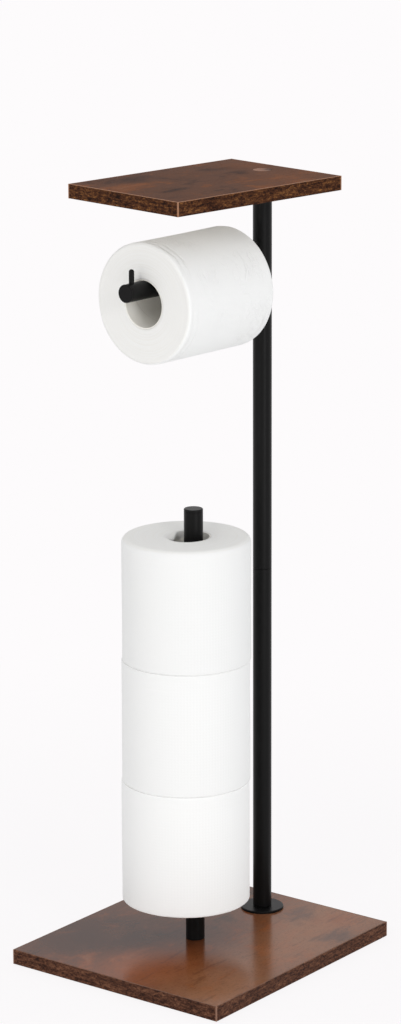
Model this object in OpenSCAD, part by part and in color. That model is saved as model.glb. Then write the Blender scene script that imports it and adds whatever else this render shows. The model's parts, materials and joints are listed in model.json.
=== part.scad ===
// Free-standing toilet roll holder: a wood-look base and shelf on a slim steel
// post, with an arm for the roll in use and an upright rod for the spare rolls.
// Millimetres, +Z up. The origin is on the floor, under the middle of the base.
// The front is -Y, the post stands towards +X, and the arm points to -X.

/* [Base] */
// Width of the base, left to right
base_w = 244; // [220:1:320]
// Depth of the base, front to back
base_d = 216; // [180:1:280]
// Thickness of the base board
base_t = 13; // [10:0.5:20]
// Thickness of the glued pads under the base
pad_t = 1; // [1:0.5:4]
// Diameter of a pad
pad_d = 18; // [10:1:24]
// Distance from a pad's middle to the two nearest edges of the base
pad_inset = 20; // [14:1:40]

/* [Shelf] */
// Width of the shelf
shelf_w = 185.6; // [140:0.2:230]
// Depth of the shelf
shelf_d = 129.2; // [90:0.2:170]
// Thickness of the shelf board
shelf_t = 12; // [9:0.5:18]
// Distance from the post's axis to the shelf's right end
shelf_post_inset = 23.4; // [20:0.2:60]
// How far the shelf's middle lies in front of the post
shelf_forward = 4; // [-10:0.5:20]
// Turn of the shelf about the post, seen from above
shelf_turn = -8.7; // [-20:0.1:20]

/* [Board edges] */
// Thickness of the edge bands glued round both boards
band_t = 1; // [0.6:0.1:2]
// Radius of the bands' outer edges
band_round = 0.35; // [0.1:0.05:0.45]

/* [Post] */
// Outside diameter of the post and the rod
tube_d = 16; // [14:0.5:20]
// Wall of the tubes
tube_wall = 1.2; // [0.8:0.1:2]
// Small bevel round the ends of the tubes
tube_bevel = 0.4; // [0.2:0.1:0.7]
// Distance from the post's axis to the right edge of the base
post_inset = 35; // [24:0.5:60]
// Length of the lower half of the post
lower_tube_len = 305; // [260:1:380]
// Length of the upper half of the post
upper_tube_len = 328; // [280:0.5:400]
// Diameter of the discs at the foot and the head of the post
flange_d = 37; // [28:1:45]
// Thickness of those discs
flange_t = 2; // [1.5:0.5:4]

/* [Arm] */
// Outside diameter of the arm
arm_d = 15; // [14:0.5:18]
// Turn of the arm about the post, seen from above
arm_turn = -3.6; // [-12:0.1:12]
// Height of the peg above the arm
peg_h = 11.5; // [8:0.5:15]
// Diameter of the peg
peg_d = 4.4; // [3:0.2:7]
// Distance from the peg's axis to the tip of the arm
peg_from_tip = 8; // [6:0.5:14]
// Thickness of the caps on the ends of the arm and the rod
cap_t = 2; // [1.5:0.5:4]
// Radius of the caps' outer edge
cap_round = 0.8; // [0.3:0.1:1.2]
// How far a cap's plug reaches into its tube
plug_len = 2.4; // [2:0.2:3]

/* [Rod] */
// Distance between the axes of the post and the rod
rod_spacing = 94.3; // [75:0.1:120]
// How far the rod stands behind the middle of the base
rod_back = 1.4; // [-5:0.1:5]
// Height of the top of the stop disc above the base
stop_lift = 37.5; // [20:0.5:60]
// Diameter of the stop disc that carries the spare rolls
stop_d = 64; // [60:1:80]
// Thickness of the stop disc
stop_t = 2.5; // [1.5:0.5:5]
// How far the rod stands out of the top roll
rod_above_rolls = 23.5; // [5:0.5:60]

/* [Rolls] */
// Length of every roll
roll_len = 105.4; // [90:0.1:120]
// Diameter of a spare roll
spare_roll_d = 108.2; // [90:0.2:125]
// Diameter of the roll in use
used_roll_d = 100.4; // [70:0.2:120]
// Inside diameter of the cardboard cores
core_d = 39; // [36:0.5:44]
// Wall of the cardboard cores
core_wall = 0.9; // [0.6:0.1:1.6]
// Radius of the soft outer edges of the rolls
roll_round = 1; // [1:0.5:6]
// How far the top spare roll sits to the left of the rod's axis
stack_left = 3.7; // [-6:0.1:6]
// How far the top spare roll sits behind the rod's axis
stack_behind = 4.8; // [-6:0.1:6]
// How much further to the left each lower spare roll sits
lean_left = 0.5; // [-1:0.1:1]
// How much further behind each lower spare roll sits
lean_behind = 0.6; // [-1:0.1:1]
// How far a core stays inside the faces of its roll
core_recess = 0.5; // [0:0.1:2]
// Free height between the roll in use and the shelf
roll_shelf_gap = 29; // [10:0.5:50]
// Gap between the post and the roll in use
roll_post_gap = 36; // [5:0.5:60]
// Gap between the roll in use and the peg
roll_peg_gap = 11.6; // [4:0.1:20]

/* [Fasteners] */
// Diameter of the board screws
screw_d = 6; // [4:0.5:6]
// Diameter of their countersunk heads
head_d = 11.5; // [9:0.5:13]
// How far a screw reaches into its insert
screw_grip = 15; // [10:1:18]
// Width across the flats of the screws' hexagon socket
socket_w = 4; // [3:0.5:4]
// Depth of that socket
socket_h = 2; // [1:0.5:2.5]
// Length of the threaded inserts in the tubes
insert_len = 20; // [19:1:30]
// Diameter of the stud that joins the two halves of the post
stud_d = 8; // [5:0.5:8]
// How far the stud reaches into each half
stud_grip = 16; // [10:1:18]
// Diameter of the cap that covers the shelf screw
cover_d = 16; // [14:0.5:20]
// Thickness of that cap, which lies flush with the shelf
cover_t = 1; // [0.6:0.1:2]

/* [Clearances] */
// Gap round pieces that are pressed, glued or screwed together
fit_gap = 0.05; // [0.02:0.01:0.1]
// Gap round a screw in its hole in a board or a disc
hole_gap = 0.3; // [0.1:0.1:0.6]
// Depth of a screw head below the face of its board or below its cap
head_sink = 0.3; // [0:0.1:1]
// Gap between a roll and what carries it
rest_gap = 0.3; // [0.2:0.1:0.6]

/* [Hidden] */
$fn = 96;

// Sizes that follow from the ones above
tube_r = tube_d / 2;
tube_bore_r = tube_r - tube_wall;
insert_r = tube_bore_r - fit_gap;
arm_r = arm_d / 2;
arm_bore_r = arm_r - tube_wall;
peg_r = peg_d / 2;
core_r = core_d / 2;
core_outer_r = core_r + core_wall;
head_h = (head_d - screw_d) / 2;
roll_pitch = roll_len + rest_gap;
shelf_sink = cover_t + head_sink;

// Heights above the floor
base_top = pad_t + base_t;
flange_top = base_top + flange_t;
seam_z = flange_top + lower_tube_len;
post_top = seam_z + upper_tube_len;
shelf_z = post_top + flange_t;
shelf_top = shelf_z + shelf_t;
stop_top = base_top + stop_lift;
stack_z = stop_top + rest_gap;
stack_top = stack_z + 3 * roll_pitch - rest_gap;
rod_top = stack_top + rod_above_rolls;
roll_drop = core_r - arm_r - rest_gap;
arm_z = shelf_z - roll_shelf_gap - used_roll_d / 2 + roll_drop;

// Places in the plan and along the arm
post_x = base_w / 2 - post_inset;
rod_x = post_x - rod_spacing;
roll_start = tube_r + roll_post_gap;
peg_at = roll_start + roll_len + roll_peg_gap + peg_r;
arm_len = peg_at + peg_from_tip;

// Colours
board_colour = "#4a2f28";
edge_colour = "#5b4438";
steel_black = "#1b1a1b";
steel_bare = "#b9bbbd";
paper_white = "#f4f3f1";
card_grey = "#d8d2c6";
pad_black = "#2b2b2b";
cover_brown = "#a98f80";

// Puts its children on the post's axis
module at_post(z) {
    translate([post_x, 0, z]) children();
}

// Puts its children on the rod's axis
module at_rod(z) {
    translate([rod_x, rod_back, z]) children();
}

// Puts its children on the axis of a spare roll, which sits loosely on the rod
// with so many rolls above it
module on_stack(z, above) {
    at_rod(z) translate([-stack_left - above * lean_left, stack_behind + above * lean_behind, 0])
        children();
}

// Puts its children in the arm's frame: X runs out along the arm's axis
module on_arm(drop = 0) {
    at_post(arm_z - drop) rotate([0, 0, 180 + arm_turn]) children();
}

// Puts its children in the shelf's frame, with the origin under its middle
module on_shelf() {
    at_post(shelf_z) rotate([0, 0, shelf_turn])
        translate([shelf_post_inset - shelf_w / 2, -shelf_forward, 0]) children();
}

// Stands a shape that was drawn upright along the X axis
module along_x(from) {
    translate([from, 0, 0]) rotate([0, 90, 0]) children();
}

// Board without its edge bands, with its underside at z = 0
module panel(w, d, t) {
    translate([band_t - w / 2, band_t - d / 2, 0]) cube([w - 2 * band_t, d - 2 * band_t, t]);
}

// Section of an edge band: the glued side is at x = 0
module band_section(h) {
    square([band_t - band_round, h]);
    translate([0, band_round]) square([band_t, h - 2 * band_round]);
    for (y = [band_round, h - band_round])
        translate([band_t - band_round, y]) circle(band_round, $fn = 24);
}

// Edge band along X, with its glued side facing -Y
module edge_band(length, h) {
    translate([-length / 2, 0, 0]) rotate([90, 0, 90]) linear_extrude(length) band_section(h);
}

// Front band (side = -1) or back band (side = 1), as long as its board
module long_band(w, d, t, side) {
    rotate([0, 0, side < 0 ? 180 : 0]) translate([0, d / 2 - band_t, 0]) edge_band(w, t);
}

// Left band (side = -1) or right band (side = 1), held between the long ones
module short_band(w, d, t, side) {
    rotate([0, 0, side < 0 ? 90 : -90]) translate([0, w / 2 - band_t, 0])
        edge_band(d - 2 * band_t, t);
}

// Upright tube from z = 0, with its outer edges bevelled
module tube(length, r = tube_r) {
    rotate_extrude() polygon([
        [r - tube_wall, 0],
        [r - tube_bevel, 0],
        [r, tube_bevel],
        [r, length - tube_bevel],
        [r - tube_bevel, length],
        [r - tube_wall, length]
    ]);
}

// Threaded plug that fills a tube over its own length
module insert(thread_d) {
    difference() {
        cylinder(h = insert_len, r = insert_r);
        translate([0, 0, -1]) cylinder(h = insert_len + 2, r = thread_d / 2 + fit_gap);
    }
}

// End cap of a tube: a rounded lid on a short plug, lid upwards from z = 0
module end_cap(r = tube_r) {
    cylinder(h = cap_t - cap_round, r = r);
    cylinder(h = cap_t, r = r - cap_round);
    translate([0, 0, cap_t - cap_round]) rotate_extrude() intersection() {
        translate([r - cap_round, 0]) circle(cap_round, $fn = 32);
        square([r, cap_round]);
    }
    translate([0, 0, -plug_len]) cylinder(h = plug_len, r = r - tube_wall - fit_gap);
}

// Disc with a bevelled edge and a hole, lying on z = 0
module disc(d, t, hole_r) {
    bevel = t / 4;
    rotate_extrude() polygon([
        [hole_r, 0],
        [d / 2, 0],
        [d / 2, t - bevel],
        [d / 2 - bevel, t],
        [hole_r, t]
    ]);
}

// Countersunk screw standing on its head: the head's face is at z = 0
module screw(length) {
    difference() {
        union() {
            cylinder(h = head_h, r1 = head_d / 2, r2 = screw_d / 2);
            cylinder(h = length, r = screw_d / 2);
        }
        translate([0, 0, -1]) cylinder(h = socket_h + 1, d = socket_w / cos(30), $fn = 6);
    }
}

// Hole through a board for such a screw, whose head lies at the given depth
module screw_hole(t, depth) {
    head_hole_r = head_d / 2 + hole_gap;
    shank_hole_r = screw_d / 2 + hole_gap;
    translate([0, 0, -1]) cylinder(h = depth + 1, r = head_hole_r);
    translate([0, 0, depth]) cylinder(h = head_h, r1 = head_hole_r, r2 = shank_hole_r);
    translate([0, 0, -1]) cylinder(h = t + 2, r = shank_hole_r);
}

// Wound paper of a roll, upright from z = 0, round its core
module paper(d) {
    inner = core_outer_r + fit_gap;
    outer = d / 2;
    rotate_extrude() {
        translate([inner, 0]) square([outer - roll_round - inner, roll_len]);
        translate([inner, roll_round]) square([outer - inner, roll_len - 2 * roll_round]);
        for (z = [roll_round, roll_len - roll_round])
            translate([outer - roll_round, z]) circle(roll_round);
    }
}

// Cardboard core of a roll, upright from z = 0
module core() {
    rotate_extrude() translate([core_r, core_recess])
        square([core_wall, roll_len - 2 * core_recess]);
}

// Base
module base_board() {
    color(board_colour) difference() {
        translate([0, 0, pad_t]) panel(base_w, base_d, base_t);
        at_post(pad_t) screw_hole(base_t, head_sink);
        at_rod(pad_t) screw_hole(base_t, head_sink);
    }
}

module base_front_band() {
    color(edge_colour) translate([0, 0, pad_t]) long_band(base_w, base_d, base_t, -1);
}

module base_back_band() {
    color(edge_colour) translate([0, 0, pad_t]) long_band(base_w, base_d, base_t, 1);
}

module base_left_band() {
    color(edge_colour) translate([0, 0, pad_t]) short_band(base_w, base_d, base_t, -1);
}

module base_right_band() {
    color(edge_colour) translate([0, 0, pad_t]) short_band(base_w, base_d, base_t, 1);
}

module foot_pads() {
    color(pad_black)
        for (side = [-1, 1], end = [-1, 1])
            translate([side * (base_w / 2 - pad_inset), end * (base_d / 2 - pad_inset), pad_t])
                mirror([0, 0, 1]) disc(pad_d, pad_t, 0);
}

module base_post_screw() {
    color(steel_bare) at_post(pad_t + head_sink)
        screw(base_t - head_sink + flange_t + screw_grip);
}

module base_rod_screw() {
    color(steel_bare) at_rod(pad_t + head_sink) screw(base_t - head_sink + screw_grip);
}

// Post
module post_flange() {
    color(steel_black) at_post(base_top) disc(flange_d, flange_t, screw_d / 2 + hole_gap);
}

module post_lower_tube() {
    color(steel_black) at_post(flange_top) tube(lower_tube_len);
}

module post_foot_insert() {
    color(steel_bare) at_post(flange_top) insert(screw_d);
}

module post_joint_insert() {
    color(steel_bare) at_post(seam_z - insert_len) insert(stud_d);
}

module post_joint_stud() {
    color(steel_bare) at_post(seam_z - stud_grip) cylinder(h = 2 * stud_grip, d = stud_d);
}

module post_upper_insert() {
    color(steel_bare) at_post(seam_z) insert(stud_d);
}

module post_upper_tube() {
    color(steel_black) at_post(seam_z) tube(upper_tube_len);
}

module post_head_insert() {
    color(steel_bare) at_post(post_top - insert_len) insert(screw_d);
}

module post_head_flange() {
    color(steel_black) at_post(shelf_z) mirror([0, 0, 1])
        disc(flange_d, flange_t, screw_d / 2 + hole_gap);
}

// Shelf
module shelf_board() {
    color(board_colour) difference() {
        on_shelf() panel(shelf_w, shelf_d, shelf_t);
        at_post(shelf_top) mirror([0, 0, 1]) screw_hole(shelf_t, shelf_sink);
        at_post(shelf_top - cover_t) cylinder(h = cover_t + 1, r = cover_d / 2 + fit_gap);
    }
}

module shelf_front_band() {
    color(edge_colour) on_shelf() long_band(shelf_w, shelf_d, shelf_t, -1);
}

module shelf_back_band() {
    color(edge_colour) on_shelf() long_band(shelf_w, shelf_d, shelf_t, 1);
}

module shelf_left_band() {
    color(edge_colour) on_shelf() short_band(shelf_w, shelf_d, shelf_t, -1);
}

module shelf_right_band() {
    color(edge_colour) on_shelf() short_band(shelf_w, shelf_d, shelf_t, 1);
}

module shelf_screw() {
    color(steel_bare) at_post(shelf_top - shelf_sink) mirror([0, 0, 1])
        screw(shelf_t - shelf_sink + flange_t + screw_grip);
}

module screw_cover() {
    color(cover_brown) at_post(shelf_top - cover_t) disc(cover_d, cover_t, 0);
}

// Arm: its root is cut to the curve of the post that it is welded to
module arm_tube() {
    color(steel_black) difference() {
        on_arm() along_x(0) tube(arm_len - cap_t, arm_r);
        at_post(seam_z) cylinder(h = upper_tube_len, r = tube_r + fit_gap);
        on_arm() translate([peg_at, 0, 0]) cylinder(h = arm_d, r = peg_r + fit_gap);
    }
}

module arm_end_cap() {
    color(steel_black) on_arm() along_x(arm_len - cap_t) end_cap(arm_r);
}

// Peg: it passes the upper wall of the arm and stands on the lower one
module arm_peg() {
    foot = fit_gap - sqrt(arm_bore_r * arm_bore_r - peg_r * peg_r);
    color(steel_black) on_arm() translate([peg_at, 0, foot]) {
        cylinder(h = arm_r + peg_h - peg_r - foot, r = peg_r);
        translate([0, 0, arm_r + peg_h - peg_r - foot]) sphere(peg_r, $fn = 48);
    }
}

// Rod
module rod_tube() {
    color(steel_black) at_rod(base_top) tube(rod_top - cap_t - base_top);
}

module rod_foot_insert() {
    color(steel_bare) at_rod(base_top) insert(screw_d);
}

module rod_top_cap() {
    color(steel_black) at_rod(rod_top - cap_t) end_cap();
}

module rod_stop() {
    color(steel_black) at_rod(stop_top - stop_t) disc(stop_d, stop_t, tube_r + fit_gap);
}

// Rolls: the roll in use hangs with its core on the top of the arm
module hanging_roll_paper() {
    color(paper_white) on_arm(roll_drop) along_x(roll_start) paper(used_roll_d);
}

module hanging_roll_core() {
    color(card_grey) on_arm(roll_drop) along_x(roll_start) core();
}

module top_roll_paper() {
    color(paper_white) on_stack(stack_z + 2 * roll_pitch, 0) paper(spare_roll_d);
}

module top_roll_core() {
    color(card_grey) on_stack(stack_z + 2 * roll_pitch, 0) core();
}

module middle_roll_paper() {
    color(paper_white) on_stack(stack_z + roll_pitch, 1) paper(spare_roll_d);
}

module middle_roll_core() {
    color(card_grey) on_stack(stack_z + roll_pitch, 1) core();
}

module bottom_roll_paper() {
    color(paper_white) on_stack(stack_z, 2) paper(spare_roll_d);
}

module bottom_roll_core() {
    color(card_grey) on_stack(stack_z, 2) core();
}

base_board();
base_front_band();
base_back_band();
base_left_band();
base_right_band();
foot_pads();
base_post_screw();
base_rod_screw();
post_flange();
post_lower_tube();
post_foot_insert();
post_joint_insert();
post_joint_stud();
post_upper_insert();
post_upper_tube();
post_head_insert();
post_head_flange();
shelf_board();
shelf_front_band();
shelf_back_band();
shelf_left_band();
shelf_right_band();
shelf_screw();
screw_cover();
arm_tube();
arm_end_cap();
arm_peg();
rod_tube();
rod_foot_insert();
rod_top_cap();
rod_stop();
hanging_roll_paper();
hanging_roll_core();
top_roll_paper();
top_roll_core();
middle_roll_paper();
middle_roll_core();
bottom_roll_paper();
bottom_roll_core();
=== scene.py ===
# Free-standing toilet roll holder: finishes, wound paper rolls, weld beads, lamps
# and camera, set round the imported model. Metres, +Z up, the front is -Y.
import json
from math import cos, pi, radians, sin

import bpy
from mathutils import Matrix, Vector


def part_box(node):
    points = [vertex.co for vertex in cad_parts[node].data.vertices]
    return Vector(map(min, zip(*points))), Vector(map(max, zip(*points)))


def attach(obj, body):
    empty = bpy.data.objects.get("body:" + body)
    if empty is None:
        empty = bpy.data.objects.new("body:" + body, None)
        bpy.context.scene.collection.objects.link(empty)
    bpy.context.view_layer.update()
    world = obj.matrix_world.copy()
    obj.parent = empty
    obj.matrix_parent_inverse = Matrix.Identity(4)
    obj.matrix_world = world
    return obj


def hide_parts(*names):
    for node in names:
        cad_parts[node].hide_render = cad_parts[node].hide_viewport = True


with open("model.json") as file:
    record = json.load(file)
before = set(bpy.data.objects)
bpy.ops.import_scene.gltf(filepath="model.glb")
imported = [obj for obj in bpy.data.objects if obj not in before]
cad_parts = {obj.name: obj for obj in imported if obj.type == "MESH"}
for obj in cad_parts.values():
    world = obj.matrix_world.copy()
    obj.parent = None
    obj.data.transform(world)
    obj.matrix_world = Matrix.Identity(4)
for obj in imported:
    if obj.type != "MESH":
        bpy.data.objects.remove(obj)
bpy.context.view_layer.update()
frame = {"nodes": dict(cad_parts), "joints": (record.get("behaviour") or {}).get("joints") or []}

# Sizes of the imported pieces
MM = 0.001
BASE_W = 244 * MM
BASE_D = 216 * MM
SHELF_W = 185.6 * MM
SHELF_D = 129.2 * MM
SHELF_TURN = radians(-8.7)
TUBE_RADIUS = 8 * MM
ARM_RADIUS = 7.5 * MM
ARM_TURN = radians(-3.6)
ROLL_LENGTH = 105.4 * MM
SPARE_ROLL_RADIUS = 54.1 * MM
USED_ROLL_RADIUS = 50.2 * MM
PAPER_BORE_RADIUS = 20.45 * MM


# Node trees
class Value:
    """An output in a node tree. Arithmetic on it adds Math nodes."""

    def __init__(self, graph, socket):
        self.graph = graph
        self.socket = socket

    def __getitem__(self, name):
        return Value(self.graph, self.socket.node.outputs[name])

    def math(self, operation, *others):
        return self.graph.math(operation, self, *others)

    def __add__(self, other):
        return self.math("ADD", other)

    def __radd__(self, other):
        return self.math("ADD", other)

    def __sub__(self, other):
        return self.math("SUBTRACT", other)

    def __rsub__(self, other):
        return self.graph.math("SUBTRACT", other, self)

    def __mul__(self, other):
        return self.math("MULTIPLY", other)

    def __rmul__(self, other):
        return self.math("MULTIPLY", other)

    def __truediv__(self, other):
        return self.math("DIVIDE", other)

    def __gt__(self, other):
        return self.math("GREATER_THAN", other)

    def __lt__(self, other):
        return self.math("LESS_THAN", other)

    def __pow__(self, other):
        return self.math("POWER", other)


class Graph:
    """A node tree under construction."""

    def __init__(self, tree):
        self.tree = tree
        tree.nodes.clear()

    def add(self, kind, settings=None, inputs=None, output=0):
        """Adds a node: its settings and ramp stops first, then its inputs."""
        node = self.tree.nodes.new(kind)
        for name, setting in (settings or {}).items():
            if name == "stops":
                self.set_stops(node.color_ramp, setting)
            else:
                setattr(node, name, setting)
        for name, value in (inputs or {}).items():
            if isinstance(value, Value):
                self.tree.links.new(value.socket, node.inputs[name])
            else:
                node.inputs[name].default_value = value
        return Value(self, node.outputs[output]) if node.outputs else node

    def set_stops(self, ramp, stops):
        for _ in range(len(stops) - len(ramp.elements)):
            ramp.elements.new(1)
        for element, (position, colour) in zip(ramp.elements, stops):
            element.position = position
            element.color = colour

    def math(self, operation, *values):
        return self.add("ShaderNodeMath", {"operation": operation}, dict(enumerate(values)))

    def vector_math(self, operation, *values):
        return self.add("ShaderNodeVectorMath", {"operation": operation}, dict(enumerate(values)))

    def vector(self, x, y, z):
        return self.add("ShaderNodeCombineXYZ", None, {0: x, 1: y, 2: z})

    def parts(self, vector):
        split = self.add("ShaderNodeSeparateXYZ", None, {0: vector})
        return split["X"], split["Y"], split["Z"]

    def from_axis(self, x, y):
        """How far a place is from the upright axis through zero."""
        return (x * x + y * y).math("SQRT")

    def step(self, value, low, high):
        """0 below low, 1 above high, and a smooth rise between them."""
        return self.add(
            "ShaderNodeMapRange",
            {"interpolation_type": "SMOOTHSTEP"},
            {"Value": value, "From Min": low, "From Max": high},
        )

    def mix(self, factor, first, second, blend="MIX"):
        return self.add(
            "ShaderNodeMix",
            {"data_type": "RGBA", "blend_type": blend},
            {0: factor, 6: first, 7: second},
            output=2,
        )

    def ramp(self, value, stops):
        """The ink at a tone, blended between stops of a tone and an ink."""
        return self.add("ShaderNodeValToRGB", {"stops": stops}, {"Fac": value})

    def noise(self, vector, scale, detail=2.0, roughness=0.5, distortion=0.0):
        return self.add(
            "ShaderNodeTexNoise",
            None,
            {
                "Vector": vector,
                "Scale": scale,
                "Detail": detail,
                "Roughness": roughness,
                "Distortion": distortion,
            },
        )

    def grain(self, vector, scales, detail=2.0, roughness=0.5, distortion=0.0):
        """Noise with a scale of its own along each axis."""
        stretched = self.vector_math("MULTIPLY", vector, scales)
        return self.noise(stretched, 1.0, detail, roughness, distortion)

    def bump(self, height, distance, strength=1.0, below=None):
        inputs = {"Height": height, "Distance": distance, "Strength": strength}
        if below is not None:
            inputs["Normal"] = below
        return self.add("ShaderNodeBump", None, inputs)

    def attribute(self, name):
        return self.add("ShaderNodeAttribute", {"attribute_name": name})["Vector"]

    def object_place(self, centre=(0, 0, 0), turn=(0, 0, 0)):
        """The object's coordinates, seen from a frame with this centre and turn."""
        return self.add(
            "ShaderNodeMapping",
            {"vector_type": "TEXTURE"},
            {
                "Vector": self.add("ShaderNodeTexCoord")["Object"],
                "Location": centre,
                "Rotation": turn,
            },
        )


def rgb(red, green, blue):
    """The linear colour of a screen colour that is given from 0 to 255."""
    linear = [
        c / 12.92 if c <= 0.04045 else ((c + 0.055) / 1.055) ** 2.4
        for c in (red / 255, green / 255, blue / 255)
    ]
    return (*linear, 1.0)


def new_material(name):
    made = bpy.data.materials.new(name)
    made.use_nodes = True
    return made, Graph(made.node_tree)


def surface(graph, colour, roughness, normal, **constants):
    """Ends a material in one shader. Constants are named after its sockets."""
    inputs = {"Base Color": colour, "Roughness": roughness, "Normal": normal}
    for name, value in constants.items():
        inputs[name.replace("_", " ")] = value
    shader = graph.add("ShaderNodeBsdfPrincipled", None, inputs)
    graph.add("ShaderNodeOutputMaterial", None, {"Surface": shader})


# Camera, fitted to the photograph. Angles in radians
PHOTO_HEIGHT_PX = 1024
FOCAL_PX = 3693.5
SENSOR_MM = 36.0
CAMERA_TARGET = Vector((0.56, 0.0, 387.5)) * MM
CAMERA_AZIMUTH = -0.918
CAMERA_ELEVATION = 0.25
CAMERA_ROLL = -0.004
CAMERA_DISTANCE = 3066.6 * MM
NEAREST_SEEN = 0.1
FARTHEST_SEEN = 50.0


def facing(azimuth, elevation):
    """The turn of a camera or lamp that looks back at its target from there."""
    turn = Matrix.Rotation(azimuth, 4, "Z")
    return turn @ Matrix.Rotation(pi / 2 - elevation, 4, "X")


def set_camera():
    data = bpy.data.cameras.new("camera")
    data.sensor_width = SENSOR_MM
    data.lens = FOCAL_PX * SENSOR_MM / PHOTO_HEIGHT_PX
    data.clip_start = NEAREST_SEEN
    data.clip_end = FARTHEST_SEEN
    camera = bpy.data.objects.new("camera", data)
    bpy.context.scene.collection.objects.link(camera)
    turn = facing(CAMERA_AZIMUTH, CAMERA_ELEVATION)
    back = turn @ Vector((0, 0, CAMERA_DISTANCE))
    roll = Matrix.Rotation(CAMERA_ROLL, 4, "Z")
    camera.matrix_world = Matrix.Translation(CAMERA_TARGET + back) @ turn @ roll
    bpy.context.scene.camera = camera


# Room and floor
BACKDROP = rgb(253, 251, 252)
WALL_LIGHT = (0.615, 0.62, 0.63, 1.0)
CEILING_LIGHT = (0.775, 0.78, 0.79, 1.0)
FLOOR_HALF = 5.0
FLOOR_COLOUR = (0.93, 0.93, 0.93, 1.0)
SHADOW_SHARE = 0.1
SHADOW_FULL_TO = 0.25
SHADOW_GONE_AT = 0.9


def seen_by_eye(graph):
    """1 for rays from the camera, a mirror or glass, 0 for light that bounces."""
    path = graph.add("ShaderNodeLightPath")
    rays = path["Is Camera Ray"] + path["Is Glossy Ray"] + path["Is Transmission Ray"]
    return rays.math("MINIMUM", 1.0)


def set_room():
    world = bpy.data.worlds.new("room")
    world.use_nodes = True
    graph = Graph(world.node_tree)
    _, _, height = graph.parts(graph.add("ShaderNodeTexCoord")["Generated"])
    room = graph.mix(height, WALL_LIGHT, CEILING_LIGHT)
    light = graph.add("ShaderNodeBackground", None, {"Color": room})
    shown = graph.add("ShaderNodeBackground", None, {"Color": BACKDROP})
    mixed = graph.add("ShaderNodeMixShader", None, {0: seen_by_eye(graph), 1: light, 2: shown})
    graph.add("ShaderNodeOutputWorld", None, {"Surface": mixed})
    bpy.context.scene.world = world


def floor_finish():
    """The backdrop's colour, with a share of the stand's shadow round its foot."""
    made, graph = new_material("pale_floor")
    x, y, _ = graph.parts(graph.object_place())
    near = 1.0 - graph.step(graph.from_axis(x, y), SHADOW_FULL_TO, SHADOW_GONE_AT)
    lit = graph.add("ShaderNodeBsdfDiffuse", None, {"Color": FLOOR_COLOUR})
    shown = graph.add("ShaderNodeEmission", None, {"Color": BACKDROP, "Strength": 1.0})
    plain = seen_by_eye(graph) * (1.0 - near * SHADOW_SHARE)
    mixed = graph.add("ShaderNodeMixShader", None, {0: plain, 1: lit, 2: shown})
    graph.add("ShaderNodeOutputMaterial", None, {"Surface": mixed})
    return made


def set_floor():
    mesh = bpy.data.meshes.new("floor")
    corners = [(-1, -1), (1, -1), (1, 1), (-1, 1)]
    mesh.from_pydata([(x * FLOOR_HALF, y * FLOOR_HALF, 0) for x, y in corners], [], [(0, 1, 2, 3)])
    mesh.materials.append(floor_finish())
    floor = bpy.data.objects.new("floor", mesh)
    bpy.context.scene.collection.objects.link(floor)


# Lamps
LAMP_TARGET = Vector((0.0, 0.0, 0.36))
WARM_WHITE = (1.0, 0.972, 0.935)
PLAIN_WHITE = (1.0, 1.0, 1.0)

# Name, azimuth and elevation (degrees), distance and width (m), power (W), colour
SOFTBOXES = [
    ("left_high_softbox", -80, 25, 2.6, 0.4, 7.0, WARM_WHITE),
    ("left_level_softbox", -88, 2, 2.6, 0.3, 3.0, WARM_WHITE),
    ("right_high_softbox", -25, 25, 2.6, 0.4, 7.8, PLAIN_WHITE),
    ("right_low_softbox", -21, -8, 1.3, 0.2, 1.5, PLAIN_WHITE),
]


def set_lamp(name, azimuth, elevation, distance, width, power, colour):
    data = bpy.data.lights.new(name, "AREA")
    data.size = width
    data.energy = power
    data.color = colour
    lamp = bpy.data.objects.new(name, data)
    bpy.context.scene.collection.objects.link(lamp)
    turn = facing(radians(azimuth), radians(elevation))
    back = turn @ Vector((0, 0, distance))
    lamp.matrix_world = Matrix.Translation(LAMP_TARGET + back) @ turn
    lamp.visible_camera = False


# Steel and foam
COAT_DARK = (0.0035, 0.0035, 0.0037, 1.0)
COAT_PALE = (0.0065, 0.0063, 0.0062, 1.0)
ZINC_DARK = (0.42, 0.43, 0.44, 1.0)
ZINC_PALE = (0.6, 0.61, 0.63, 1.0)
FOAM_DARK = (0.012, 0.012, 0.012, 1.0)
FOAM_PALE = (0.028, 0.028, 0.027, 1.0)


def powder_coat():
    made, graph = new_material("powder_coat")
    place = graph.object_place()
    orange_peel = graph.noise(place, 900, detail=2.0, roughness=0.55)
    grit = graph.noise(place, 3200, detail=1.0)
    cloud = graph.noise(place, 45, detail=3.0)
    colour = graph.mix(cloud, COAT_DARK, COAT_PALE)
    roughness = 0.3 + 0.06 * cloud + 0.06 * grit
    peel_normal = graph.bump(orange_peel, 0.06 * MM, strength=0.4)
    normal = graph.bump(grit, 0.03 * MM, strength=0.35, below=peel_normal)
    surface(graph, colour, roughness, normal, Specular_IOR_Level=0.12)
    return made


def zinc_steel():
    made, graph = new_material("zinc_steel")
    place = graph.object_place()
    brushed = graph.grain(place, (400, 400, 4000), detail=3.0)
    stain = graph.noise(place, 150, detail=3.0)
    colour = graph.mix(stain, ZINC_DARK, ZINC_PALE)
    roughness = 0.25 + 0.15 * brushed + 0.1 * stain
    normal = graph.bump(brushed, 0.02 * MM, strength=0.5)
    surface(graph, colour, roughness, normal, Metallic=1.0)
    return made


def foam_pad():
    made, graph = new_material("foam_pad")
    place = graph.object_place()
    cells = graph.add("ShaderNodeTexVoronoi", None, {"Vector": place, "Scale": 2200})
    cloud = graph.noise(place, 300, detail=3.0)
    colour = graph.mix(cloud, FOAM_DARK, FOAM_PALE)
    roughness = 0.85 + 0.1 * cloud
    normal = graph.bump(cells, 0.1 * MM, strength=0.6)
    surface(graph, colour, roughness, normal)
    return made


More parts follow.
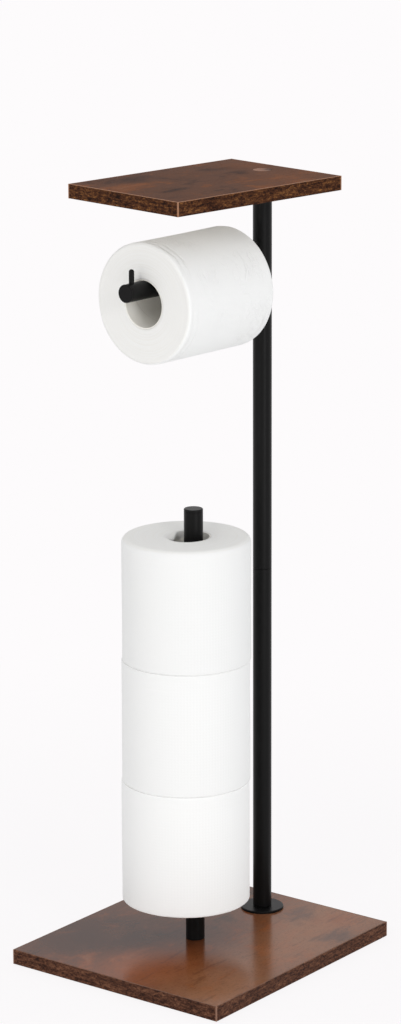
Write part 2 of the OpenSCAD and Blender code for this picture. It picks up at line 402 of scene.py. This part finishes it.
# Printed wood
# The dark and pale inks are print, and on the base also painted shade and painted sheen; the grey
# ink is only painted sheen
DARK_WOOD_AND_SHADE = rgb(66, 44, 34)
PAINTED_GREY_SHEEN = rgb(84, 70, 68)
BROWN_WOOD = rgb(118, 78, 54)
ORANGE_WOOD = rgb(150, 90, 46)
PALE_WOOD_AND_SHEEN = rgb(162, 126, 98)
PRINT_STOPS = [
    (0.4, DARK_WOOD_AND_SHADE),
    (0.47, BROWN_WOOD),
    (0.52, BROWN_WOOD),
    (0.58, ORANGE_WOOD),
    (0.67, PALE_WOOD_AND_SHEEN),
]
FLECK_SHARE = 0.4
STREAK_SHARE = 0.35
CLOUD_SQUEEZE = 0.75
CLOUD_TEAR = 70 * MM
FOIL_DARK = rgb(196, 190, 182)
FOIL_PALE = rgb(226, 222, 215)
TAPE_TONES = (0.41, 0.47, 0.54, 0.64)
ARRIS_WIDTH = 0.5 * MM
CORNER_FADE = 1.2 * MM
CORNER_WIDTH = 0.8 * MM
CORNER_SHARE = 0.85

# Each cloud of a print: its middle (x, y) and reach in mm, its ink and strength. On the base the
# clouds are not all print: the pale and grey ones are painted reflection, the sheen of the bright
# room on the satin board, and the dark ones beside the stack of rolls are painted shade and dark
# reflection under the rolls.
# The tape's inks go from dark to light. The arrises are its pale cut edges, paler still from a
# painted highlight on their rounding.
BASE_FINISH = {
    "clouds": [
        (-60, 84, 90, DARK_WOOD_AND_SHADE, 0.95),
        (-46, 28, 40, DARK_WOOD_AND_SHADE, 0.85),
        (-84, -14, 66, ORANGE_WOOD, 0.9),
        (-100, -92, 84, PALE_WOOD_AND_SHEEN, 0.8),
        (10, -80, 80, PALE_WOOD_AND_SHEEN, 0.6),
        (100, -60, 96, PALE_WOOD_AND_SHEEN, 0.85),
        (94, -36, 26, PAINTED_GREY_SHEEN, 0.8),
        (102, -70, 30, ORANGE_WOOD, 0.6),
        (70, -94, 22, PAINTED_GREY_SHEEN, 0.7),
    ],
    "stain": (0.84, 0.65, 0.54, 1.0),
    "gloss_ior": 1.26,
    "inks": (rgb(34, 20, 17), rgb(66, 40, 30), rgb(98, 64, 48), rgb(140, 98, 74)),
    "arris_colour": rgb(150, 114, 96),
    "arris_share": 0.4,
}
SHELF_FINISH = {
    "clouds": [
        (-40, 44, 30, DARK_WOOD_AND_SHADE, 0.6),
        (62, -30, 50, ORANGE_WOOD, 0.4),
        (80, 30, 36, ORANGE_WOOD, 0.5),
    ],
    "stain": (0.7, 0.65, 0.64, 1.0),
    "gloss_ior": 1.018,
    "inks": (rgb(16, 8, 6), rgb(56, 30, 18), rgb(88, 54, 32), rgb(150, 102, 56)),
    "arris_colour": rgb(178, 132, 104),
    "arris_share": 0.85,
}


def wood_print(graph, place, clouds):
    """Printed wood grain along X, with the clouds given laid over it, some of them painted sheen
    and painted shade: its colour and its finest flecks.
    """
    broad = graph.grain(place, (9, 13, 13), detail=3.0, roughness=0.55, distortion=0.6)
    cloud = graph.grain(place, (26, 38, 38), detail=6.0, roughness=0.62, distortion=0.5)
    streak = graph.grain(place, (30, 170, 170), detail=5.0, roughness=0.6, distortion=0.3)
    vein = graph.grain(place, (70, 800, 800), detail=3.0, roughness=0.6)
    fleck = graph.grain(place, (420, 700, 700), detail=4.0, roughness=0.7)
    tone = broad * 0.36 + cloud * 0.42 + streak * 0.16 + vein * 0.06
    colour = graph.ramp(tone, PRINT_STOPS)
    x, y, _ = graph.parts(place)
    torn = (cloud - 0.5) * CLOUD_TEAR
    for middle_x, middle_y, reach, ink, strength in clouds:
        off_x = (x - middle_x * MM) * CLOUD_SQUEEZE
        off_y = y - middle_y * MM
        away = graph.from_axis(off_x, off_y) + torn
        share = (1.0 - graph.step(away, 0.0, reach * MM)) * strength
        colour = graph.mix(share, colour, ink)
    speckled = graph.mix(graph.step(fleck, 0.5, 0.7) * FLECK_SHARE, colour, DARK_WOOD_AND_SHADE)
    streaked = graph.mix(graph.step(streak, 0.54, 0.7) * STREAK_SHARE, speckled, DARK_WOOD_AND_SHADE)
    return streaked, fleck


def laminate(name, middle, turn, finish):
    """Satin wood print on a board, with its grain along the board. The hidden
    side, below the middle, has a plain balancing foil."""
    made, graph = new_material(name)
    place = graph.object_place(middle, (0, 0, turn))
    colour, fleck = wood_print(graph, place, finish["clouds"])
    colour = graph.mix(1.0, colour, finish["stain"], "MULTIPLY")
    smear = graph.noise(place, 35, detail=4.0)
    foil = graph.mix(fleck * 0.6 + smear * 0.4, FOIL_DARK, FOIL_PALE)
    _, _, height = graph.parts(place)
    colour = graph.mix(height > 0.0, foil, colour)
    roughness = 0.11 + 0.12 * smear + 0.05 * fleck
    normal = graph.bump(fleck, 0.03 * MM, strength=0.3)
    surface(graph, colour, roughness, normal, IOR=finish["gloss_ior"])
    return made


def edge_tape(name, centre, turn, half_w, half_d, top, finish):
    """Printed tape on a board's edges, with its pale cut arrises, paler still from a painted
    highlight along the top arris.
    """
    made, graph = new_material(name)
    place = graph.object_place(centre, (0, 0, turn))
    x, y, z = graph.parts(place)
    streak = graph.grain(place, (45, 45, 420), detail=5.0, roughness=0.65, distortion=0.5)
    blotch = graph.grain(place, (240, 240, 520), detail=4.0, roughness=0.7, distortion=0.4)
    fleck = graph.grain(place, (600, 600, 1400), detail=3.0, roughness=0.7)
    tone = streak * 0.28 + blotch * 0.42 + fleck * 0.3
    ink = graph.ramp(tone, list(zip(TAPE_TONES, finish["inks"])))
    worn = graph.noise(place, 160, detail=3.0)
    arris = ARRIS_WIDTH + (worn - 0.5) * ARRIS_WIDTH
    # Pale along the top arris: the tape's cut edge, with a painted highlight on its rounding
    cut_edge_and_glint = 1.0 - graph.step(top - z, 0.0, arris)
    at_end = graph.step(x.math("ABSOLUTE"), half_w - CORNER_FADE, half_w - CORNER_WIDTH)
    at_side = graph.step(y.math("ABSOLUTE"), half_d - CORNER_FADE, half_d - CORNER_WIDTH)
    corner = at_end * at_side * CORNER_SHARE
    pale = (cut_edge_and_glint * finish["arris_share"]).math("MAXIMUM", corner)
    colour = graph.mix(pale, ink, finish["arris_colour"])
    roughness = 0.42 + 0.2 * blotch
    normal = graph.bump(blotch, 0.08 * MM, strength=0.4)
    surface(graph, colour, roughness, normal, Specular_IOR_Level=0.05)
    return made


# The cap's two grained colours are its print under a painted highlight; the third is its own
# brown, without the highlight, on a patch off its middle
CAP_DARK = rgb(132, 92, 72)
CAP_PALE = rgb(178, 132, 108)
CAP_BROWN = rgb(78, 50, 36)
BROWN_PATCH_X = 5 * MM
BROWN_PATCH_Y = -5 * MM
BROWN_PATCH_CORE = 1 * MM
BROWN_PATCH_REACH = 12 * MM
BROWN_PATCH_TEAR = 3 * MM


def cover_cap(middle):
    """Wood print that is paler than the shelf's, and paler still from a painted highlight
    everywhere but on a brown patch off its middle.
    """
    made, graph = new_material("cover_cap")
    place = graph.object_place(middle)
    grain = graph.grain(place, (90, 700, 700), detail=4.0, roughness=0.6)
    pale = graph.mix(grain, CAP_DARK, CAP_PALE)
    x, y, _ = graph.parts(place)
    away = graph.from_axis(x - BROWN_PATCH_X, y - BROWN_PATCH_Y) + (grain - 0.5) * BROWN_PATCH_TEAR
    # Painted highlight over the cap, but for a brown patch off its middle
    brown_patch = 1.0 - graph.step(away, BROWN_PATCH_CORE, BROWN_PATCH_REACH)
    colour = graph.mix(brown_patch, pale, CAP_BROWN)
    roughness = 0.42 + 0.15 * grain
    normal = graph.bump(grain, 0.05 * MM, strength=0.4)
    surface(graph, colour, roughness, normal, Specular_IOR_Level=0.04)
    return made


# Card and paper
# The card's colours are near white, paler than grey board: painted light that brightens the shaded
# inside of the bores
CARD_DARK = rgb(242, 238, 228)
CARD_PALE = rgb(254, 252, 247)
CARD_SEAM = rgb(176, 168, 150)
STRIP_PITCH = 62 * MM
SEAM_WIDTH_SHARE = 0.012
SEAM_INK_SHARE = 0.2
# A dimmer and a brighter copy of the paper's colour, mixed per roll as painted light
PAPER_PAINTED_DIM = rgb(243, 243, 242)
PAPER_PAINTED_BRIGHT = rgb(253, 253, 252)
PAPER_END = rgb(233, 229, 220)
PAPER_ROUGHNESS = 0.92
END_SHADE = 0.15
LAYER_SHADE = 0.25
PRESSED_SHADE = 0.08
SIDE_FROM = 1.6 * MM
SIDE_FULL = 0.7 * MM
DOT_PITCH = 5.2 * MM
DOT_DRUM_RADIUS = 53 * MM
PRESSED_LINES = (6 * MM, 12 * MM)
PRESSED_CORE = 0.2 * MM
PRESSED_HALF = 2.4 * MM
PRESSED_WANDER = 14 * MM

# Heights and depths of the paper's relief, in millimetres
DOT_DEPTH = 0.03
PRESSED_DEPTH = 0.55
FOLD_DEPTH = 0.3
LAYER_HEIGHT = 0.12
RING_HEIGHT = 0.1


def cardboard(name, centre, turn):
    """Grey board of a core, wound from one strip, with the strip's spiral seam. It is coloured
    near white: painted light that brightens the shaded inside of the bores.
    """
    made, graph = new_material(name)
    place = graph.object_place(centre, turn)
    x, y, z = graph.parts(place)
    round_share = y.math("ARCTAN2", x) / (2 * pi)
    across = (round_share + z / STRIP_PITCH).math("FRACT")
    before = graph.step(across, 0.0, SEAM_WIDTH_SHARE)
    after = graph.step(1.0 - across, 0.0, SEAM_WIDTH_SHARE)
    seam = 1.0 - before * after
    fibre = graph.grain(place, (500, 500, 900), detail=4.0, roughness=0.7)
    cloud = graph.noise(place, 60, detail=3.0)
    card = graph.mix(fibre * 0.6 + cloud * 0.4, CARD_DARK, CARD_PALE)
    colour = graph.mix(seam * SEAM_INK_SHARE, card, CARD_SEAM)
    roughness = 0.85 + 0.1 * fibre
    normal = graph.bump(fibre - seam, 0.12 * MM, strength=0.5)
    surface(graph, colour, roughness, normal, Specular_IOR_Level=0.25)
    return made


def tissue():
    """Embossed paper. It reads what each roll's maker stores with the mesh."""
    made, graph = new_material("tissue")
    place = graph.attribute("roll_place")
    x, y, z = graph.parts(place)
    radius, length, number = graph.parts(graph.attribute("roll_shape"))
    loose, painted_brightness, _ = graph.parts(graph.attribute("roll_paper"))
    out = graph.from_axis(x, y)
    angle = y.math("ARCTAN2", x)
    on_side = graph.step(out, radius - SIDE_FROM, radius - SIDE_FULL)
    shifted = graph.vector_math("ADD", place, graph.vector(number, number, number))
    # Embossed dots in staggered rows round the outside
    row = z / DOT_PITCH
    column = angle * DOT_DRUM_RADIUS / DOT_PITCH
    dots = (row * (2 * pi)).math("SINE") * (column * (2 * pi)).math("SINE")
    emboss = graph.step(dots.math("ABSOLUTE"), 0.2, 0.95)
    # Pressed lines near the top end, which is at the arm's tip on the roll in
    # use, and loose folds
    wander = (graph.noise(shifted, 30, detail=5.0, roughness=0.7) - 0.5) * PRESSED_WANDER
    held = graph.step(graph.noise(shifted, 13, detail=2.0), 0.34, 0.6)
    pressed = 0.0
    for from_end in PRESSED_LINES:
        off = (length - z + wander - from_end).math("ABSOLUTE")
        pressed = pressed + (1.0 - graph.step(off, PRESSED_CORE, PRESSED_HALF)) * held
    crease = graph.grain(shifted, (34, 34, 70), detail=4.0, roughness=0.6, distortion=1.2)
    fold = 1.0 - graph.step((crease - 0.5).math("ABSOLUTE"), 0.0, 0.07)
    patch = graph.step(graph.noise(shifted, 16, detail=2.0), 0.5, 0.66)
    slack = pressed * PRESSED_DEPTH + fold * patch * FOLD_DEPTH
    side_height = emboss * -DOT_DEPTH - slack * loose
    # Edges of the wound layers on the ends
    layer_place = graph.vector(out * 2600, angle * 0.35, number)
    layer = graph.noise(layer_place, 1.0, detail=3.0, roughness=0.7)
    ring_place = graph.vector(out * 420, angle * 0.5, number)
    ring = graph.noise(ring_place, 1.0, detail=2.0)
    end_height = layer * LAYER_HEIGHT + ring * RING_HEIGHT
    height = side_height * on_side + end_height * (1.0 - on_side)
    # The ends are painted darker, and more so at the gaps between their layers: painted shade. So
    # are the pressed lines of a loose roll, below
    layer_shade = 1.0 - graph.step(layer, 0.35, 0.6)
    end_shade = (1.0 - on_side) * (END_SHADE + layer_shade * LAYER_SHADE)
    shade = end_shade + on_side * pressed * loose * PRESSED_SHADE
    # Each roll's paper is mixed between a dimmer and a brighter copy of one colour: painted light,
    # brighter on the lower stored rolls, which get less light
    sheet = graph.mix(painted_brightness, PAPER_PAINTED_DIM, PAPER_PAINTED_BRIGHT)
    colour = graph.mix(shade, sheet, PAPER_END)
    fibre = graph.noise(shifted, 1800, detail=3.0, roughness=0.7)
    relief = graph.bump(height, MM)
    normal = graph.bump(fibre, 0.05 * MM, strength=0.35, below=relief)
    surface(graph, colour, PAPER_ROUGHNESS, normal, Specular_IOR_Level=0.1)
    return made


# Pieces made by rule
class Maker(Graph):
    """A tree that makes a piece from inputs with names."""

    def __init__(self, name, sizes):
        super().__init__(bpy.data.node_groups.new(name, "GeometryNodeTree"))
        interface = self.tree.interface
        self.identifiers = {}
        for label, default in sizes.items():
            socket = interface.new_socket(label, in_out="INPUT", socket_type="NodeSocketFloat")
            socket.default_value = default
            self.identifiers[label] = socket.identifier
        interface.new_socket("Piece", in_out="OUTPUT", socket_type="NodeSocketGeometry")
        self.entry = self.tree.nodes.new("NodeGroupInput")

    def size(self, label):
        return Value(self, self.entry.outputs[label])

    def circle(self, points, radius):
        inputs = {"Resolution": points, "Radius": radius}
        return self.add("GeometryNodeCurvePrimitiveCircle", None, inputs)

    def store(self, geometry, name, vector):
        """Keeps a vector with every point, for a material to read."""
        return self.add(
            "GeometryNodeStoreNamedAttribute",
            {"data_type": "FLOAT_VECTOR", "domain": "POINT"},
            {"Geometry": geometry, "Name": name, "Value": vector},
        )

    def moved(self, geometry, place):
        inputs = {"Geometry": geometry, "Position": place}
        return self.add("GeometryNodeSetPosition", None, inputs)

    def finish(self, geometry, material):
        """Ends the tree: smooth faces, real geometry and a material."""
        smooth = self.add("GeometryNodeSetShadeSmooth", None, {"Geometry": geometry})
        real = self.add("GeometryNodeRealizeInstances", None, {"Geometry": smooth})
        coated = self.add(
            "GeometryNodeSetMaterial", None, {"Geometry": real, "Material": material}
        )
        self.add("NodeGroupOutput", None, {0: coated})

    def make(self, name, sizes, place):
        """A plain mesh object of the piece, with its place in the mesh."""
        holder = bpy.data.objects.new(name, bpy.data.meshes.new(name))
        bpy.context.scene.collection.objects.link(holder)
        modifier = holder.modifiers.new("rule", "NODES")
        modifier.node_group = self.tree
        for label, value in sizes.items():
            modifier[self.identifiers[label]] = float(value)
        depsgraph = bpy.context.evaluated_depsgraph_get()
        mesh = bpy.data.meshes.new_from_object(
            holder.evaluated_get(depsgraph), preserve_all_data_layers=True, depsgraph=depsgraph
        )
        holder.modifiers.remove(modifier)
        mesh.transform(place)
        holder.data = mesh
        mesh.name = name
        return holder


# Wound rolls
INNER_CORNER = 0.4 * MM
CORNER_POINTS = 8
SECTION_STEP = 0.9 * MM
SWEEP_POINTS = 192
OUT_OF_ROUND = 1.2 * MM
RIM_DENT = 0.8 * MM
RUFFLE_REACH = 14 * MM
RING_DEPTH = 0.1 * MM
DISH_DEPTH = 0.25 * MM
RIM_PROUD = 0.1 * MM
RIM_FROM = 0.8
RIM_FULL = 0.95
LIP_SHARPNESS = 5.0
LIP_REACH = 12 * MM
LIP_FULL = 2 * MM
SLUMP_DEPTH = 4 * MM
SLUMP_FULL_AT = 10 * MM
SLUMP_GONE_AT = 19 * MM


def roll_maker(material):
    """A wound roll, upright from z = 0. Number makes it unlike the others, Crease
    is the strength of its pressed lines and folds, and White sets how bright its
    paper is painted: painted light, brighter on the lower rolls, which get less light."""
    m = Maker(
        "wound_roll",
        {
            "Radius": SPARE_ROLL_RADIUS,
            "Length": ROLL_LENGTH,
            "Bore": PAPER_BORE_RADIUS,
            "Edge": 0.45 * MM,
            "Top Edge": 0.45 * MM,
            "Sheet": 0.25 * MM,
            "Tail Angle": 0.0,
            "Number": 1.0,
            "Crease": 0.1,
            "Painted Brightness": 0.5,
            "Lip": 0.0,
            "Lip Angle": 0.0,
        },
    )
    ring = rounded_ring(m)
    place = m.add("GeometryNodeInputPosition")
    shape = m.vector(m.size("Radius"), m.size("Length"), m.size("Number"))
    # The crease, and how bright the paper is painted, which is painted light
    paper = m.vector(m.size("Crease"), m.size("Painted Brightness"), 0.0)
    kept = m.store(ring, "roll_place", place)
    kept = m.store(kept, "roll_shape", shape)
    kept = m.store(kept, "roll_paper", paper)
    m.finish(m.moved(kept, uneven_place(m, place)), material)
    return m


def rounded_ring(m):
    """A section with rounded corners, swept round the bore."""
    radius = m.size("Radius")
    length = m.size("Length")
    bore = m.size("Bore")
    edge = m.size("Edge")
    section = m.add(
        "GeometryNodeCurvePrimitiveQuadrilateral", None, {"Width": radius - bore, "Height": length}
    )
    # The section's +X side is the outside and its -Y side the top
    corner_x, corner_y, _ = m.parts(m.add("GeometryNodeInputPosition"))
    outer_corner = edge + (corner_y < 0.0) * (m.size("Top Edge") - edge)
    corner = INNER_CORNER + (corner_x > 0.0) * (outer_corner - INNER_CORNER)
    rounded = m.add(
        "GeometryNodeFilletCurve",
        {"mode": "POLY"},
        {"Curve": section, "Count": CORNER_POINTS, "Radius": corner},
    )
    even = m.add(
        "GeometryNodeResampleCurve", {"mode": "LENGTH"}, {"Curve": rounded, "Length": SECTION_STEP}
    )
    circle = m.circle(SWEEP_POINTS, (radius + bore) * 0.5)
    swept = m.add("GeometryNodeCurveToMesh", None, {"Curve": circle, "Profile Curve": even})
    return m.add(
        "GeometryNodeTransform",
        None,
        {"Geometry": swept, "Translation": m.vector(0.0, 0.0, length * 0.5)},
    )


def uneven_place(m, place):
    """Where each point of a clean ring goes on a real roll."""
    radius = m.size("Radius")
    length = m.size("Length")
    bore = m.size("Bore")
    number = m.size("Number")
    x, y, z = m.parts(place)
    out = m.from_axis(x, y)
    angle = y.math("ARCTAN2", x)
    share = (out - bore) / (radius - bore)
    from_end = z.math("MINIMUM", length - z)
    on_side = m.step(share, 0.9, 1.0)
    # The outer turn ends in a tail, one sheet thick
    turned = ((angle - m.size("Tail Angle")) / (2 * pi)).math("FRACT")
    shrink = turned * m.size("Sheet") * on_side
    # The roll is a little out of round, and soft near its ends
    round_place = m.vector(x * 14, y * 14, z * 9 + number)
    wobble = (m.noise(round_place, 1.0, detail=2.0) - 0.5) * OUT_OF_ROUND * share * share
    dent_place = m.vector(x * 60, y * 60, z * 45 + number * 3.1)
    dent = m.noise(dent_place, 1.0, detail=3.0) - 0.5
    ruffle = (1.0 - m.step(from_end, 0.0, RUFFLE_REACH)) * on_side
    inward = shrink + wobble + dent * ruffle * RIM_DENT
    # Layers stand a little back from the ends, but the rim stands proud of them
    on_end = 1.0 - m.step(from_end, 0.0, m.size("Edge") * 0.5)
    on_rim = m.step(share, RIM_FROM, RIM_FULL)
    ring_place = m.vector(out * 700, angle * 0.4, number * 2.3 + z * 20)
    ring = m.noise(ring_place, 1.0, detail=2.0, roughness=0.6)
    dish_place = m.vector(x * 22, y * 22, number + z * 30)
    dish = m.noise(dish_place, 1.0, detail=2.0)
    hollow = (ring * RING_DEPTH + dish * DISH_DEPTH) * (1.0 - on_rim)
    sunk = (hollow - on_rim * RIM_PROUD) * on_end
    toward_end = (z > length * 0.5) * 2.0 - 1.0
    # Loose inner turns that lean into the bore at one side of the top end
    lip_turn = ((angle - m.size("Lip Angle")).math("COSINE") * 0.5 + 0.5) ** LIP_SHARPNESS
    crumple_place = m.vector(x * 120, y * 120, z * 90)
    crumple = 0.75 + 0.5 * m.noise(crumple_place, 1.0, detail=3.0)
    near_bore = 1.0 - m.step(out - bore, 0.0, LIP_REACH)
    near_top = m.step(z - length, -LIP_REACH, -LIP_FULL)
    lip = m.size("Lip") * lip_turn * crumple * near_bore * near_top
    drawn = out - inward - lip
    slump = (1.0 - m.step(drawn, SLUMP_FULL_AT, SLUMP_GONE_AT)) * near_top * SLUMP_DEPTH
    scale = drawn / out
    return m.vector(x * scale, y * scale, z - toward_end * sunk - slump)


# Weld beads
BEAD_LINE_POINTS = 288
BEAD_SECTION_POINTS = 12
BEAD_PLAIN_SHARE = 0.85
BEAD_RIPPLE = 0.09
BEAD_UNEVEN = 0.3
STOP_BEAD_RADIUS = 1.1 * MM
STOP_BEAD_RIPPLES = 60
FLAT_WALL_RADIUS = 10.0


def bead_maker(material):
    """A weld bead on the line where a round piece meets a round wall."""
    m = Maker(
        "weld_bead",
        {
            "Piece Radius": TUBE_RADIUS,
            "Wall Radius": TUBE_RADIUS,
            "Bead Radius": 0.9 * MM,
            "Ripples": 70.0,
        },
    )
    wall = m.size("Wall Radius")
    circle = m.circle(BEAD_LINE_POINTS, m.size("Piece Radius"))
    x, y, _ = m.parts(m.add("GeometryNodeInputPosition"))
    wall_height = (wall * wall - y * y).math("MAXIMUM", 0.0).math("SQRT")
    line = m.moved(circle, m.vector(x, y, wall_height))
    angle = y.math("ARCTAN2", x)
    ripple = (angle * m.size("Ripples")).math("SINE") * BEAD_RIPPLE
    rough_place = m.vector(x * 300, y * 300, 0.0)
    uneven = m.noise(rough_place, 1.0, detail=2.0) * BEAD_UNEVEN
    thick = m.size("Bead Radius") * (BEAD_PLAIN_SHARE + ripple + uneven)
    ring = m.circle(BEAD_SECTION_POINTS, 1.0)
    bead = m.add(
        "GeometryNodeCurveToMesh", None, {"Curve": line, "Profile Curve": ring, "Scale": thick}
    )
    m.finish(bead, material)
    return m


# Assembly
USED_ROLL = {
    "Radius": USED_ROLL_RADIUS,
    "Edge": 2.8 * MM,
    "Top Edge": 2.8 * MM,
    "Tail Angle": 2.0,
    "Number": 11.0,
    "Crease": 1.0,
}
# The stored rolls' paper is painted brighter from the top roll down: painted light for the lower
# rolls, which get less light
STORED_ROLLS = {
    "top_roll": {
        "Top Edge": 5 * MM,
        "Tail Angle": 1.4,
        "Number": 3.0,
        "Painted Brightness": 0.15,
        "Lip": 9 * MM,
        "Lip Angle": 1.95,
    },
    "middle_roll": {"Tail Angle": 0.6, "Number": 5.0, "Painted Brightness": 0.4},
    "bottom_roll": {"Tail Angle": 2.0, "Number": 8.0, "Painted Brightness": 0.75},
}


def paint(material, *nodes):
    for node in nodes:
        frame["nodes"][node].data.materials.clear()
        frame["nodes"][node].data.materials.append(material)


def middle_of(node):
    low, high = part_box(node)
    return (low + high) / 2


def upright(node):
    """The place of an upright roll: on its own axis, at its lower end."""
    middle = middle_of(node)
    low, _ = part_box(node)
    return Matrix.Translation((middle.x, middle.y, low.z))


def lying(joint_name):
    """The place of a roll that lies along its joint's axis, from its inner end."""
    spin = next(joint for joint in frame["joints"] if joint["name"] == joint_name)
    axis = Vector(spin["axis"])
    start = Vector(spin["pos_m"]) - axis * (ROLL_LENGTH / 2)
    return Matrix.Translation(start) @ axis.to_track_quat("Z", "Y").to_matrix().to_4x4()


def dress_board(name, turn, width, depth, finish):
    """Print on a board's faces, and tape on the bands round it."""
    middle = middle_of(name + "_board")
    _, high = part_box(name + "_board")
    centre = (middle.x, middle.y, 0)
    face = laminate(name + "_laminate", middle, turn, finish)
    tape = edge_tape(name + "_tape", centre, turn, width / 2, depth / 2, high.z, finish)
    paint(face, name + "_board")
    for side in ("front", "back", "left", "right"):
        paint(tape, f"{name}_{side}_band")


def dress_stand():
    paint(
        powder_coat(), "post_flange", "post_lower_tube", "post_upper_tube", "post_head_flange",
        "arm_tube", "arm_end_cap", "arm_peg", "rod_tube", "rod_top_cap", "rod_stop",
    )
    paint(
        zinc_steel(), "base_post_screw", "base_rod_screw", "shelf_screw", "post_foot_insert",
        "post_joint_insert", "post_joint_stud", "post_upper_insert", "post_head_insert",
        "rod_foot_insert",
    )
    paint(foam_pad(), "foot_pads")
    paint(cover_cap(middle_of("screw_cover")), "screw_cover")
    dress_board("base", 0, BASE_W, BASE_D, BASE_FINISH)
    dress_board("shelf", SHELF_TURN, SHELF_W, SHELF_D, SHELF_FINISH)


def add_rolls():
    rolls = roll_maker(tissue())
    for body, sizes in STORED_ROLLS.items():
        paper = body + "_paper"
        place = upright(paper)
        roll = rolls.make(body + "_wound", sizes, place)
        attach(roll, body)
        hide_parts(paper)
        paint(cardboard(body + "_card", place.translation, (0, 0, 0)), body + "_core")
    place = lying("hanging_roll_spin")
    roll = rolls.make("hanging_roll_wound", USED_ROLL, place)
    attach(roll, "hanging_roll")
    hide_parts("hanging_roll_paper")
    turn = tuple(place.to_euler())
    paint(cardboard("hanging_roll_card", place.translation, turn), "hanging_roll_core")


def add_weld_beads():
    beads = bead_maker(powder_coat())
    post = middle_of("post_upper_tube")
    arm = middle_of("arm_tube")
    out = Vector((-cos(ARM_TURN), -sin(ARM_TURN), 0))
    upward = Vector((0, 0, 1))
    side = out.cross(upward)
    turn = Matrix((upward, side, out)).transposed().to_4x4()
    root = Matrix.Translation((post.x, post.y, arm.z)) @ turn
    bead = beads.make("arm_weld", {"Piece Radius": ARM_RADIUS}, root)
    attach(bead, "stand")
    stop_low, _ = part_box("rod_stop")
    rod = middle_of("rod_tube")
    under = Matrix.Translation((rod.x, rod.y, stop_low.z - FLAT_WALL_RADIUS))
    sizes = {
        "Wall Radius": FLAT_WALL_RADIUS,
        "Bead Radius": STOP_BEAD_RADIUS,
        "Ripples": STOP_BEAD_RIPPLES,
    }
    bead = beads.make("stop_weld", sizes, under)
    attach(bead, "stand")


bpy.context.scene.view_settings.view_transform = "Standard"
set_camera()
set_room()
set_floor()
for softbox in SOFTBOXES:
    set_lamp(*softbox)
dress_stand()
add_rolls()
add_weld_beads()
